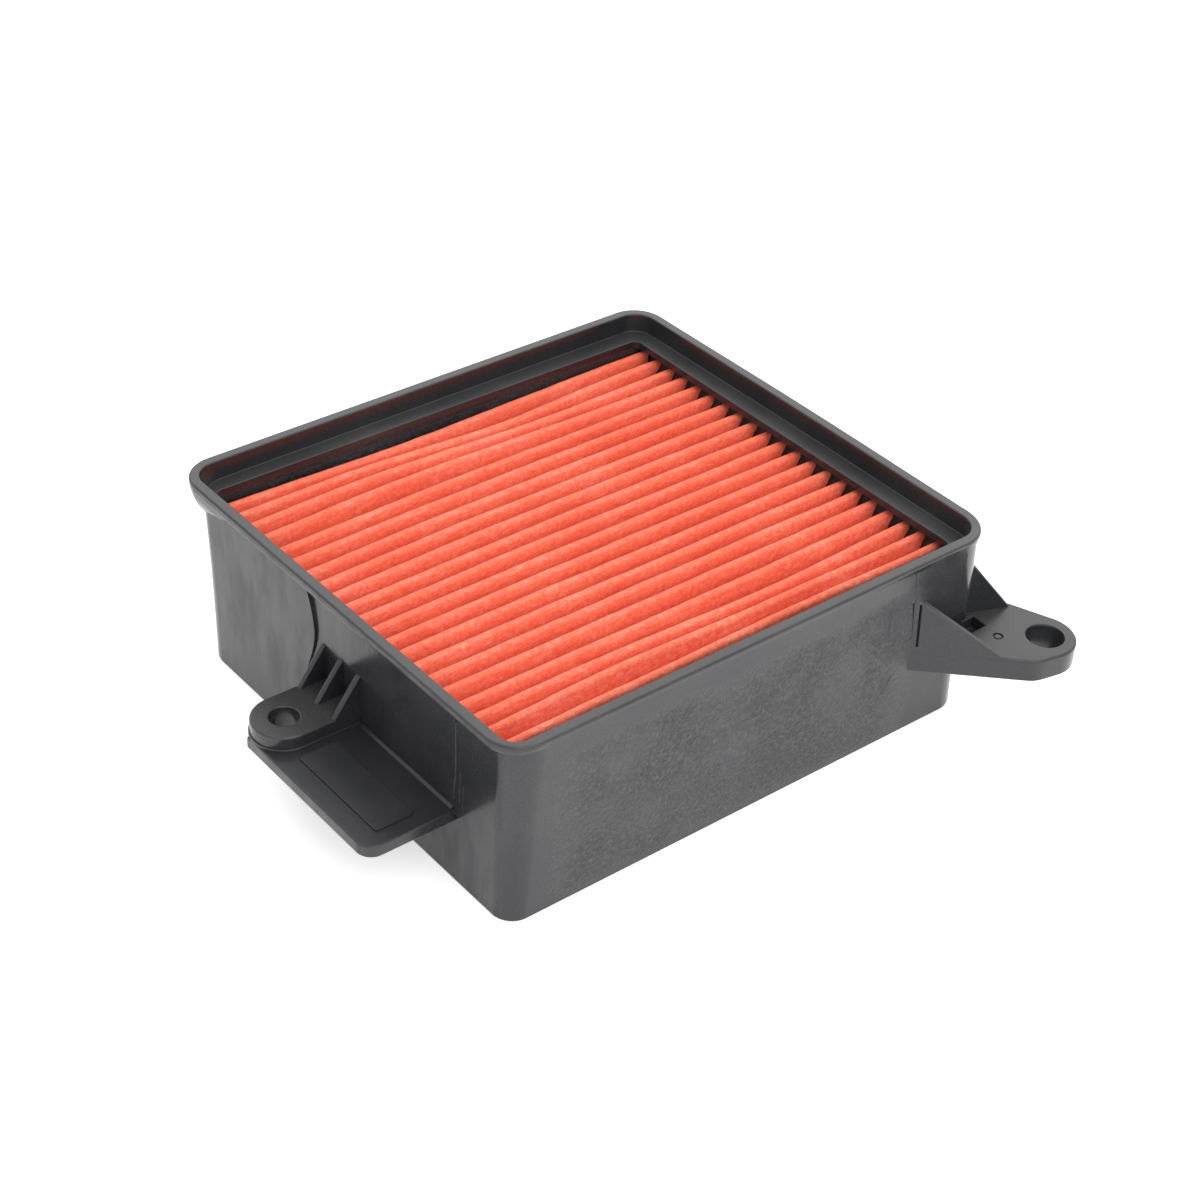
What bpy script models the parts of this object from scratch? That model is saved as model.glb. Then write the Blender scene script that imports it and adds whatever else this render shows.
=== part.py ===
# Panel air filter for a scooter: a moulded plastic housing holding a pleated
# paper pack, bonded in with adhesive seals on all four sides.
# Units are metres; the housing rests on z = 0 with its intake side up (+Z).
import bpy
import bmesh
import math
from mathutils import Vector

MM = 0.001

# ---------------------------------------------------------------- dimensions
LIP_X, LIP_Y = 134.0, 121.5          # outside of the top lip
LIP_Y_LEFT = 120.5                   # its left side is a little shorter
HEIGHT = 46.5                        # base to top of lip
LIP_W = 2.6                          # width of the lip's top face
LIP_R = (8.0, 9.2, 7.8, 8.4)         # outside corner radii: front-left, front-right, rear-right, rear-left
LIP_R_IN = (4.0, 5.8, 5.2, 5.2)      # inside corner radii
RECESS_X = 4.3                       # left side of the recess, below the lip
LIP_DROP = 2.6                       # height of the proud part of the lip
LEDGE_Z = 41.7                       # upper face of the sealing ledge
LEDGE_T = 1.8                        # ledge thickness
# drafted outer walls, as level sections: height, left x, front y at the left and
# right ends, right x, rear y at the right and left ends, and the corner radii
WALLS = ((0.0, 2.7, 1.8, 0.7, 132.3, 115.4, 115.2, (5.0, 7.0, 5.0, 7.0)),
         (25.0, 2.5, 0.9, 0.4, 132.7, 115.7, 115.4, (6.0, 6.0, 5.0, 6.0)),
         (38.0, 2.4, 0.4, 0.2, 133.0, 115.9, 115.7, (6.6, 7.9, 5.4, 5.0)),
         (45.0, 2.3, 0.15, 0.15, 133.2, 116.0, 115.8, (7.0, 9.0, 6.0, 5.0)))
CAVITY = (4.7, 3.4, 130.7, 113.9)    # inside of the walls below the ledge
CAVITY_R = 4.0
MOUTH = (6.2, 6.6, 126.8, 114.1)     # opening in the ledge over the paper
MOUTH_R = 2.0
REAR_FLANGE_Y = 110.0                # the rear flange wraps round from here

# support bars across the clean side
BAR_W, BAR_Z0, BAR_Z1 = 1.8, 5.6, 9.3
BARS_X = (37.4, 67.7, 98.0)
BAR_Y = 58.7

# left ear: round boss on a block, on the end of a flat shelf
EAR_L = (-11.0, 60.6)
EAR_L_R = 7.2
EAR_L_TOP, EAR_L_BOT = 21.9, 15.4
EAR_L_HOLE = 3.25
SHELF_X, SHELF_Y0, SHELF_Y1 = -18.5, 19.9, 63.4
SHELF_TOP, SHELF_BOT = 18.3, 15.4
SHELF_R = 3.6
PANEL = (-13.8, 23.6, -4.6, 51.1)    # low raised pad on the shelf
PANEL_RISE = 0.5
RIB_Y = (54.1, 60.5, 66.9)           # gusset ribs over the boss block
RIB_T, RIB_TOP, RIB_REACH = 1.4, 30.3, 5.8

# right ear: tapered lug off the front right corner
EAR_R = (140.3, -13.0)
EAR_R_END, EAR_R_R = (139.7, -12.4), 7.9   # rounded end, a little behind the hole
EAR_R_SHOULDER = (135.3, -12.4)
EAR_R_SHOULDER_R = 7.0
EAR_R_TOP, EAR_R_BOT = 22.9, 17.3
EAR_R_HOLE = 4.3
LUG_FRONT = (111.4, 0.6)             # where the lug leaves the front wall
LUG_REAR = (142.9, 0.7)              # outer foot of the rear gusset
LUG_WALL = (132.6, 4.8)              # where the rear gusset meets the wall
GUSSET_T = 1.7
FRONT_GUSSET_TOP, FRONT_GUSSET_LEN = 36.6, 20.0
REAR_GUSSET_TOP = 35.2
POCKET = ((127.9, -2.7), (132.2, -2.5), (132.4, 0.9), (128.0, 0.9))
POCKET_DEPTH = 3.0                   # pocket in the lug against the wall

# pleated paper
CRESTS = 21
PITCH = 5.06
CREST_REAR_Y = 111.4                 # crest nearest the rear wall
CREST_Z, VALLEY_Z = 38.6, 9.7
PAPER_T = 0.45
FOLD_R = 0.85                        # outside radius of a fold
FLAP_Z = 19.0                        # lower edge of the two end flaps
PAPER_X = (7.6, 126.7)

# adhesive seals round the pack
SEAL_Z0, SEAL_Z1 = 9.7, 39.5
LEFT_SEAL_X = (5.0, 7.3)
RIGHT_SEAL_X = (127.0, 130.4)
FRONT_SEAL_Y = (3.7, 8.35)
FRONT_SEAL_Z = (14.0, 34.5)
REAR_SEAL_Y = (112.95, 113.6)
REAR_SEAL_Z = (14.0, 34.5)

# origin: centre of the overall footprint, on the base
ORIGIN_X = (SHELF_X + EAR_R_END[0] + EAR_R_R) / 2.0
ORIGIN_Y = (EAR_R_END[1] - EAR_R_R + LIP_Y) / 2.0

ARC = 7                              # segments in a corner arc

# ------------------------------------------------------------------- helpers
for ob in list(bpy.data.objects):
    bpy.data.objects.remove(ob, do_unlink=True)


def material(name, colour, roughness, metallic=0.0):
    m = bpy.data.materials.new(name)
    m.use_nodes = True
    b = m.node_tree.nodes["Principled BSDF"]
    b.inputs["Base Color"].default_value = (*colour, 1.0)
    b.inputs["Roughness"].default_value = roughness
    b.inputs["Metallic"].default_value = metallic
    m.diffuse_color = (*colour, 1.0)
    return m


def arc(cx, cy, r, a0, a1, n):
    return [(cx + r * math.cos(math.radians(a0 + (a1 - a0) * i / n)),
             cy + r * math.sin(math.radians(a0 + (a1 - a0) * i / n)))
            for i in range(n + 1)]


def rounded_rect(x0, y0, x1, y1, radii, n=ARC):
    """Corners in the order front-left, front-right, rear-right, rear-left."""
    if not hasattr(radii, "__len__"):
        radii = (radii,) * 4
    r = radii
    return (arc(x0 + r[0], y0 + r[0], r[0], 180, 270, n)
            + arc(x1 - r[1], y0 + r[1], r[1], 270, 360, n)
            + arc(x1 - r[2], y1 - r[2], r[2], 0, 90, n)
            + arc(x0 + r[3], y1 - r[3], r[3], 90, 180, n))


def rounded_quad(x0, y0l, y0r, x1, y1r, y1l, radii, n=ARC):
    """Like rounded_rect, with its front and rear sides slightly out of square."""
    r = radii
    return (arc(x0 + r[0], y0l + r[0], r[0], 180, 270, n)
            + arc(x1 - r[1], y0r + r[1], r[1], 270, 360, n)
            + arc(x1 - r[2], y1r - r[2], r[2], 0, 90, n)
            + arc(x0 + r[3], y1l - r[3], r[3], 90, 180, n))


def world(x, y, z):
    return Vector(((x - ORIGIN_X) * MM, (y - ORIGIN_Y) * MM, z * MM))


def stack(name, loops):
    """Closed solid through (outline, height) loops that have the same number of points."""
    bm = bmesh.new()
    rows = [[bm.verts.new(world(x, y, z)) for x, y in pts] for pts, z in loops]
    n = len(rows[0])
    for a, b in zip(rows, rows[1:]):
        for i in range(n):
            j = (i + 1) % n
            bm.faces.new((a[i], a[j], b[j], b[i]))
    bm.faces.new(list(reversed(rows[0])))
    bm.faces.new(rows[-1])
    bmesh.ops.recalc_face_normals(bm, faces=bm.faces[:])
    me = bpy.data.meshes.new(name)
    bm.to_mesh(me)
    bm.free()
    ob = bpy.data.objects.new(name, me)
    bpy.context.collection.objects.link(ob)
    return ob


def prism(name, pts, z0, z1):
    return stack(name, [(pts, z0), (pts, z1)])


def upright(name, p, q, thick, profile):
    """Plate standing on the plan line p to q; profile is (distance, z) pairs."""
    d = Vector((q[0] - p[0], q[1] - p[1]))
    d.normalize()
    n = Vector((-d.y, d.x)) * thick
    bm = bmesh.new()
    a = [bm.verts.new(world(p[0] + d.x * s, p[1] + d.y * s, z)) for s, z in profile]
    b = [bm.verts.new(world(p[0] + d.x * s + n.x, p[1] + d.y * s + n.y, z)) for s, z in profile]
    k = len(a)
    for i in range(k):
        j = (i + 1) % k
        bm.faces.new((a[i], a[j], b[j], b[i]))
    bm.faces.new(list(reversed(a)))
    bm.faces.new(b)
    bmesh.ops.recalc_face_normals(bm, faces=bm.faces[:])
    me = bpy.data.meshes.new(name)
    bm.to_mesh(me)
    bm.free()
    ob = bpy.data.objects.new(name, me)
    bpy.context.collection.objects.link(ob)
    return ob


def hull(points):
    pts = sorted(set((round(x, 6), round(y, 6)) for x, y in points))

    def half(seq):
        out = []
        for p in seq:
            while len(out) > 1 and ((out[-1][0] - out[-2][0]) * (p[1] - out[-2][1])
                                    - (out[-1][1] - out[-2][1]) * (p[0] - out[-2][0])) <= 1e-9:
                out.pop()
            out.append(p)
        return out[:-1]
    return half(pts) + half(list(reversed(pts)))


def combine(base, other, how):
    mod = base.modifiers.new(how.title(), 'BOOLEAN')
    mod.operation = how
    mod.solver = 'EXACT'
    mod.object = other
    dg = bpy.context.evaluated_depsgraph_get()
    dg.update()
    me = bpy.data.meshes.new_from_object(base.evaluated_get(dg))
    base.modifiers.clear()
    old = base.data
    base.data = me
    bpy.data.meshes.remove(old)
    bpy.data.objects.remove(other, do_unlink=True)


def finish(ob, mat, smooth_angle=35.0):
    bm = bmesh.new()
    bm.from_mesh(ob.data)
    bmesh.ops.remove_doubles(bm, verts=bm.verts[:], dist=2e-6)
    bmesh.ops.dissolve_limit(bm, angle_limit=math.radians(0.3), verts=bm.verts[:], edges=bm.edges[:])
    bmesh.ops.triangulate(bm, faces=[f for f in bm.faces if len(f.verts) > 4])
    bmesh.ops.recalc_face_normals(bm, faces=bm.faces[:])
    bm.to_mesh(ob.data)
    bm.free()
    ob.data.materials.clear()
    ob.data.materials.append(mat)
    ob.data.shade_smooth()
    ob.data.set_sharp_from_angle(angle=math.radians(smooth_angle))


# ------------------------------------------------------------------- housing
housing = stack("filter_housing", [(rounded_quad(*w[1:]), w[0]) for w in WALLS])

lip = prism("lip", rounded_quad(0, 0, 0, LIP_X, LIP_Y, LIP_Y_LEFT, LIP_R), HEIGHT - LIP_DROP, HEIGHT)
combine(housing, lip, 'UNION')

# deeper flange along the rear, wrapping the two rear corners
rr, rl = LIP_R[2], LIP_R[3]
rear = prism("rear_flange",
             [(3.0, REAR_FLANGE_Y), (LIP_X - 3.0, REAR_FLANGE_Y)]
             + arc(LIP_X - rr, LIP_Y - rr, rr - 0.05, 0, 90, ARC)
             + arc(rl, LIP_Y_LEFT - rl, rl - 0.05, 90, 180, ARC),
             LEDGE_Z - LEDGE_T, HEIGHT - 0.4)
combine(housing, rear, 'UNION')

# shelf and left ear
shelf_outline = ([(6.0, SHELF_Y0), (6.0, SHELF_Y1), (SHELF_X + 0.9, SHELF_Y1), (SHELF_X, SHELF_Y1 - 0.6)]
                 + arc(SHELF_X + SHELF_R, SHELF_Y0 + SHELF_R, SHELF_R, 180, 270, ARC))
combine(housing, prism("shelf", shelf_outline, SHELF_BOT, SHELF_TOP), 'UNION')
boss_outline = ([(6.0, EAR_L[1] - EAR_L_R), (6.0, EAR_L[1] + EAR_L_R)]
                + arc(EAR_L[0], EAR_L[1], EAR_L_R, 90, 270, 20))
combine(housing, prism("boss", boss_outline, EAR_L_BOT, EAR_L_TOP), 'UNION')
for y in RIB_Y:
    rib = upright("rib", (2.8, y + RIB_T / 2), (-10.0, y + RIB_T / 2), RIB_T,
                  [(-2.0, EAR_L_TOP - 1.0), (RIB_REACH + 0.7, EAR_L_TOP - 1.0), (RIB_REACH + 0.7, EAR_L_TOP),
                   (0.7, RIB_TOP), (-2.0, RIB_TOP)])
    combine(housing, rib, 'UNION')

# right ear
lug_outline = hull([LUG_FRONT, (LUG_FRONT[0], 8.0), (126.0, 8.0), LUG_WALL, LUG_REAR]
                   + arc(*EAR_R_END, EAR_R_R, 0, 350, 35)
                   + arc(*EAR_R_SHOULDER, EAR_R_SHOULDER_R, 0, 350, 35))
combine(housing, prism("lug", lug_outline, EAR_R_BOT, EAR_R_TOP), 'UNION')
# the front gusset is flush with the lug's front side
reach = math.hypot(EAR_R_SHOULDER[0] - LUG_FRONT[0], EAR_R_SHOULDER[1] - LUG_FRONT[1])
turn = (math.atan2(EAR_R_SHOULDER[1] - LUG_FRONT[1], EAR_R_SHOULDER[0] - LUG_FRONT[0])
        - math.asin(EAR_R_SHOULDER_R / reach))
along = (LUG_FRONT[0] + math.cos(turn) * 20, LUG_FRONT[1] + math.sin(turn) * 20)
front_gusset = upright("front_gusset", LUG_FRONT, along, GUSSET_T,
                       [(-1.2, EAR_R_TOP - 1.0), (FRONT_GUSSET_LEN, EAR_R_TOP - 1.0),
                        (FRONT_GUSSET_LEN, EAR_R_TOP), (0.0, FRONT_GUSSET_TOP), (-1.2, FRONT_GUSSET_TOP)])
combine(housing, front_gusset, 'UNION')
span = math.hypot(LUG_WALL[0] - LUG_REAR[0], LUG_WALL[1] - LUG_REAR[1])
rear_gusset = upright("rear_gusset", LUG_REAR, LUG_WALL, GUSSET_T,
                      [(0.0, EAR_R_TOP - 1.0), (span + 0.8, EAR_R_TOP - 1.0), (span + 0.8, REAR_GUSSET_TOP),
                       (span - 0.6, REAR_GUSSET_TOP), (0.0, EAR_R_TOP)])
combine(housing, rear_gusset, 'UNION')

# hollow out: lip recess, ledge mouth, cavity below the ledge
recess = [(rounded_quad(x, LIP_W, LIP_W, LIP_X - LIP_W, LIP_Y - LIP_W, LIP_Y_LEFT - LIP_W, LIP_R_IN), z)
          for x, z in ((RECESS_X, LEDGE_Z), (RECESS_X, HEIGHT - LIP_DROP - 0.7), (LIP_W, HEIGHT - LIP_DROP + 1.0),
                       (LIP_W, HEIGHT + 2.0))]
combine(housing, stack("cut", recess), 'DIFFERENCE')
combine(housing, prism("cut", rounded_rect(*CAVITY, CAVITY_R), -2.0, LEDGE_Z - LEDGE_T), 'DIFFERENCE')
combine(housing, prism("cut", rounded_rect(*MOUTH, MOUTH_R), LEDGE_Z - LEDGE_T - 1.0, LEDGE_Z + 1.0), 'DIFFERENCE')

# clean-side support bars, moulded with the walls
x0, y0, x1, y1 = CAVITY
for bx in BARS_X:
    combine(housing, prism("bar", [(bx - BAR_W / 2, y0 - 0.8), (bx + BAR_W / 2, y0 - 0.8),
                                   (bx + BAR_W / 2, y1 + 0.8), (bx - BAR_W / 2, y1 + 0.8)],
                           BAR_Z0, BAR_Z1), 'UNION')
combine(housing, prism("bar", [(x0 - 0.8, BAR_Y - BAR_W / 2), (x1 + 0.8, BAR_Y - BAR_W / 2),
                               (x1 + 0.8, BAR_Y + BAR_W / 2), (x0 - 0.8, BAR_Y + BAR_W / 2)],
                       BAR_Z0, BAR_Z1), 'UNION')

# raised pad on the shelf, screw holes, and the pocket behind the front gusset
combine(housing, prism("pad", rounded_rect(*PANEL, 0.8, 3), SHELF_TOP - 1.0, SHELF_TOP + PANEL_RISE), 'UNION')
combine(housing, prism("cut", arc(*EAR_L, EAR_L_HOLE, 0, 350, 35), 5.0, 35.0), 'DIFFERENCE')
combine(housing, prism("cut", arc(*EAR_R, EAR_R_HOLE, 0, 350, 35), 5.0, 35.0), 'DIFFERENCE')
combine(housing, prism("cut", POCKET, EAR_R_TOP - POCKET_DEPTH, EAR_R_TOP + 1.0), 'DIFFERENCE')

black = material("housing_black_plastic", (0.030, 0.032, 0.036), 0.38)
finish(housing, black)

# -------------------------------------------------------------- pleated paper
# Centre line of the folded sheet in the YZ plane, from the rear flap forward.
half = PAPER_T / 2
mid = []
FOLD = 4                                        # segments round each fold
rc = FOLD_R - half
for i in range(CRESTS):
    yc = CREST_REAR_Y - PITCH * i
    zc = CREST_Z - FOLD_R
    if i == 0:
        mid.append((yc + FOLD_R + 0.30, FLAP_Z))
    for k in range(FOLD + 1):
        a = math.radians(5 + 170 * k / FOLD)
        mid.append((yc + rc * math.cos(a), zc + rc * math.sin(a)))
    if i < CRESTS - 1:
        yv = yc - PITCH / 2
        zv = VALLEY_Z + FOLD_R
        for k in range(FOLD + 1):
            a = math.radians(-5 - 170 * k / FOLD)
            mid.append((yv + rc * math.cos(a), zv + rc * math.sin(a)))
    else:
        mid.append((yc - FOLD_R - 0.30, FLAP_Z))


def offset(path, d):
    out = []
    for i, p in enumerate(path):
        a = path[max(i - 1, 0)]
        b = path[min(i + 1, len(path) - 1)]
        u = Vector((p[0] - a[0], p[1] - a[1])) if i else Vector((b[0] - p[0], b[1] - p[1]))
        v = Vector((b[0] - p[0], b[1] - p[1])) if i < len(path) - 1 else u.copy()
        u.normalize()
        v.normalize()
        n = Vector((-(u.y + v.y), u.x + v.x))
        n.normalize()
        s = d / max(0.5, n.dot(Vector((-u.y, u.x))))
        out.append((p[0] + n.x * s, p[1] + n.y * s))
    return out


top_side = offset(mid, half)
low_side = offset(mid, -half)
bm = bmesh.new()
rows = []
for x in PAPER_X:
    rows.append(([bm.verts.new(world(x, y, z)) for y, z in top_side],
                 [bm.verts.new(world(x, y, z)) for y, z in low_side]))
(t0, l0), (t1, l1) = rows
n = len(t0)
for i in range(n - 1):
    bm.faces.new((t0[i], t0[i + 1], t1[i + 1], t1[i]))
    bm.faces.new((l0[i], l1[i], l1[i + 1], l0[i + 1]))
    bm.faces.new((t0[i], l0[i], l0[i + 1], t0[i + 1]))
    bm.faces.new((t1[i], t1[i + 1], l1[i + 1], l1[i]))
bm.faces.new((t0[0], t1[0], l1[0], l0[0]))
bm.faces.new((t0[-1], l0[-1], l1[-1], t1[-1]))
bmesh.ops.recalc_face_normals(bm, faces=bm.faces[:])
me = bpy.data.meshes.new("pleated_paper")
bm.to_mesh(me)
bm.free()
paper = bpy.data.objects.new("pleated_paper", me)
bpy.context.collection.objects.link(paper)
me.materials.append(material("paper_oiled_red", (0.80, 0.115, 0.045), 0.75))
me.shade_smooth()
me.set_sharp_from_angle(angle=math.radians(50))

# -------------------------------------------------------------------- seals
glue = material("adhesive_black", (0.022, 0.021, 0.021), 0.5)


def seal(name, x0, y0, x1, y1, z0, z1, r, mat):
    ob = prism(name, rounded_rect(x0, y0, x1, y1, r, 4), z0, z1)
    finish(ob, mat)
    return ob


y0, y1 = CAVITY[1] + 0.3, CAVITY[3] - 0.3
seal("left_pleat_end_seal", LEFT_SEAL_X[0], y0 + 3.4, LEFT_SEAL_X[1], y1 - 3.4, SEAL_Z0, SEAL_Z1, 0.5, glue)
seal("right_pleat_end_seal", RIGHT_SEAL_X[0], y0 + 3.4, RIGHT_SEAL_X[1], y1 - 3.4, SEAL_Z0, SEAL_Z1, 0.5,
     material("adhesive_black_right", (0.022, 0.021, 0.021), 0.5))
seal("front_flap_seal", PAPER_X[0], FRONT_SEAL_Y[0], PAPER_X[1], FRONT_SEAL_Y[1], *FRONT_SEAL_Z, 0.5,
     material("adhesive_black_front", (0.022, 0.021, 0.021), 0.5))
seal("rear_flap_seal", PAPER_X[0], REAR_SEAL_Y[0], PAPER_X[1], REAR_SEAL_Y[1], *REAR_SEAL_Z, 0.15,
     material("adhesive_black_rear", (0.022, 0.021, 0.021), 0.5))
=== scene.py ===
# Looks for the panel air filter: a moulded black housing with a red pleated
# paper pack bonded into it. Design sizes are in millimetres, measured from the
# lip's left side (x), the lip's front side (y) and the base (z).
import math

import bmesh
import bpy
import numpy as np
from mathutils import Matrix, Vector, noise

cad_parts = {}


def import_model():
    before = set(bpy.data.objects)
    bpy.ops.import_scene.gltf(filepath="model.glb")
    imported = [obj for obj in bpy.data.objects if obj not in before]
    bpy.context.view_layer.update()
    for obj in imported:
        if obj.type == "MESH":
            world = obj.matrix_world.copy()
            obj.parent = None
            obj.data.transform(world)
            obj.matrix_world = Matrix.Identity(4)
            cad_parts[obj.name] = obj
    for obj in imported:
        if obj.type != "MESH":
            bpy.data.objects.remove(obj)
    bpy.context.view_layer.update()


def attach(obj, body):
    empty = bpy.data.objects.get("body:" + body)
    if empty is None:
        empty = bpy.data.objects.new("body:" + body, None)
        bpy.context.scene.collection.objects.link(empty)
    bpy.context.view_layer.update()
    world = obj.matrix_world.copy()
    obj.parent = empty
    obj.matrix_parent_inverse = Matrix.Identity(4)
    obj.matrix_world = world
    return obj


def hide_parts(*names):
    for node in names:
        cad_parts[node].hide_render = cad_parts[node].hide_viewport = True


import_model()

MM = 0.001
ORIGIN_X, ORIGIN_Y = 64.55, 50.6

# ------------------------------------------------------------------ dimensions
LIP_X, LIP_Y, LIP_Y_LEFT, HEIGHT = 134.0, 121.5, 120.5, 46.5
LIP_W, LIP_DROP = 2.6, 2.1
LIP_R, LIP_R_IN = (8.0, 9.2, 7.8, 8.4), (3.9, 5.8, 5.2, 5.2)
LEDGE_Z, LEDGE_T = 41.7, 1.8
# drafted outer walls, as level sections: height, left x, front y at the left and
# right ends, right x, rear y at the right and left ends, and the corner radii
WALLS = ((0.0, 2.7, 1.8, 0.7, 132.3, 115.4, 115.2, (5.0, 7.0, 5.0, 7.0)),
         (12.0, 2.6, 1.35, 0.55, 132.6, 115.55, 115.3, (5.6, 8.8, 5.0, 6.6)),
         (19.0, 2.55, 1.1, 0.45, 132.65, 115.6, 115.35, (5.8, 8.2, 5.0, 6.3)),
         (25.0, 2.5, 0.9, 0.4, 132.7, 115.7, 115.4, (6.0, 6.0, 5.0, 6.0)),
         (38.0, 2.4, 0.4, 0.2, 133.0, 115.9, 115.7, (6.6, 7.9, 5.4, 5.0)),
         (45.5, 2.3, 0.15, 0.15, 133.2, 116.0, 115.8, (7.0, 9.0, 6.0, 5.0)))
CAVITY, CAVITY_R = (4.7, 3.4, 130.7, 113.9), 4.0
MOUTH, MOUTH_R = (6.2, 6.6, 126.8, 114.1), 1.6
REAR_FLANGE_Y = 112.2
BAR_W, BAR_Z0, BAR_Z1 = 1.8, 5.6, 9.3
BARS_X, BAR_Y = (37.4, 67.7, 98.0), 58.7
EAR_L, EAR_L_R, EAR_L_TOP, EAR_L_BOT, EAR_L_HOLE = (-11.0, 60.6), 7.2, 21.9, 15.4, 3.25
SHELF_X, SHELF_Y0, SHELF_Y1, SHELF_TOP, SHELF_BOT, SHELF_R = -18.5, 19.9, 63.6, 18.3, 15.4, 3.6
PANEL, PANEL_RISE = (-13.8, 23.6, -4.6, 51.1), 0.5
RIB_Y, RIB_T, RIB_TOP, RIB_REACH = (54.1, 60.5, 66.9), 1.4, 30.3, 5.8
EAR_R, EAR_R_END, EAR_R_R, EAR_R_SHOULDER, EAR_R_SHOULDER_R = (140.3, -13.0), (139.7, -12.4), 7.9, (135.3, -12.4), 7.0
EAR_R_TOP, EAR_R_BOT = 22.9, 17.3
LUG_FRONT, LUG_REAR, LUG_WALL = (111.4, 0.6), (142.9, 0.7), (132.6, 4.8)
GUSSET_T, FRONT_GUSSET_TOP, FRONT_GUSSET_LEN, REAR_GUSSET_TOP = 1.7, 36.6, 20.0, 35.2
POCKET, POCKET_DEPTH = ((127.7, -2.7), (132.2, -2.5), (132.4, 1.4), (127.9, 1.4)), 3.0
CRESTS, PITCH, CREST_REAR_Y, CREST_Z, VALLEY_Z = 21, 5.06, 111.4, 38.6, 9.7
PAPER_T, FLAP_Z, PAPER_X = 0.45, 19.0, (7.6, 129.0)

coll = bpy.context.scene.collection


# --------------------------------------------------------------------- helpers
def world(x, y, z):
    return Vector(((x - ORIGIN_X) * MM, (y - ORIGIN_Y) * MM, z * MM))


def arc(cx, cy, r, a0, a1, n):
    return [(cx + r * math.cos(math.radians(a0 + (a1 - a0) * i / n)),
             cy + r * math.sin(math.radians(a0 + (a1 - a0) * i / n))) for i in range(n + 1)]


def rounded_rect(x0, y0, x1, y1, radii, n=14):
    if not hasattr(radii, "__len__"):
        radii = (radii,) * 4
    r = [max(0.03, v) for v in radii]
    return (arc(x0 + r[0], y0 + r[0], r[0], 180, 270, n) + arc(x1 - r[1], y0 + r[1], r[1], 270, 360, n)
            + arc(x1 - r[2], y1 - r[2], r[2], 0, 90, n) + arc(x0 + r[3], y1 - r[3], r[3], 90, 180, n))


def rect_in(box, radii, d, n=14, dy0=None):
    """The rounded rectangle shrunk by d on every side (dy0: its own value for the front)."""
    if not hasattr(radii, "__len__"):
        radii = (radii,) * 4
    f = d if dy0 is None else dy0
    return rounded_rect(box[0] + d, box[1] + f, box[2] - d, box[3] - d, [r - d for r in radii], n)


def quad_in(q, radii, d, n=14, f=None, bow=0.0):
    """Rounded quadrilateral (x0, front y left, front y right, x1, rear y right, rear y
    left) shrunk by d; f is its own value for the front side and bow swells the right side."""
    f = d if f is None else f
    r = [max(0.03, v - d) for v in radii]
    x0, yl, yr, x1, zr, zl = q[0] + d, q[1] + f, q[2] + f, q[3] - d, q[4] - d, q[5] - d
    ya, yb = yr + r[1], zr - r[2]
    side = [(x1 + bow * math.sin(math.pi * k / 12) ** 1.5, ya + (yb - ya) * k / 12) for k in range(1, 12)] if bow else []
    return (arc(x0 + r[0], yl + r[0], r[0], 180, 270, n) + arc(x1 - r[1], yr + r[1], r[1], 270, 360, n) + side
            + arc(x1 - r[2], zr - r[2], r[2], 0, 90, n) + arc(x0 + r[3], zl - r[3], r[3], 90, 180, n))


def hull(points):
    pts = sorted(set((round(x, 6), round(y, 6)) for x, y in points))

    def half(seq):
        out = []
        for p in seq:
            while len(out) > 1 and ((out[-1][0] - out[-2][0]) * (p[1] - out[-2][1])
                                    - (out[-1][1] - out[-2][1]) * (p[0] - out[-2][0])) <= 1e-9:
                out.pop()
            out.append(p)
        return out[:-1]
    return half(pts) + half(list(reversed(pts)))


def inset(poly, d):
    """Mitred inward offset of a counter-clockwise outline; d < 0 grows it."""
    n, out = len(poly), []
    for i in range(n):
        a, p, b = poly[i - 1], poly[i], poly[(i + 1) % n]
        u = Vector((p[0] - a[0], p[1] - a[1])).normalized()
        v = Vector((b[0] - p[0], b[1] - p[1])).normalized()
        nu, nv = Vector((-u.y, u.x)), Vector((-v.y, v.x))
        m = nu + nv
        if m.length < 1e-6:
            m = nu.copy()
        m.normalize()
        s = d / max(0.35, m.dot(nu))
        out.append((p[0] + m.x * s, p[1] + m.y * s))
    return out


def ccw(poly):
    area = sum(p[0] * q[1] - q[0] * p[1] for p, q in zip(poly, poly[1:] + poly[:1]))
    return list(poly) if area > 0 else list(reversed(poly))


def link(name, bm):
    me = bpy.data.meshes.new(name)
    bm.to_mesh(me)
    bm.free()
    ob = bpy.data.objects.new(name, me)
    coll.objects.link(ob)
    return ob


def stack(name, loops, split=False):
    """Closed solid through loops of points that all have the same count."""
    bm = bmesh.new()
    rows = [[bm.verts.new(p) for p in loop] for loop in loops]
    n = len(rows[0])
    for a, b in zip(rows, rows[1:]):
        for i in range(n):
            j = (i + 1) % n
            bm.faces.new((a[i], a[j], b[j], b[i]))
    bm.faces.new(list(reversed(rows[0])))
    bm.faces.new(rows[-1])
    if split:
        bmesh.ops.triangulate(bm, faces=[f for f in bm.faces if len(f.verts) == 4])
    bmesh.ops.recalc_face_normals(bm, faces=bm.faces[:])
    return link(name, bm)


def flat_loop(pts, z):
    return [world(x, y, z) for x, y in pts]


def quarter(r, n):
    """(inset, drop) pairs of a quarter round, from the side face to the end face."""
    return [(r * (1 - math.cos(math.pi / 2 * k / n)), r * (1 - math.sin(math.pi / 2 * k / n)))
            for k in range(n + 1)]


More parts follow.
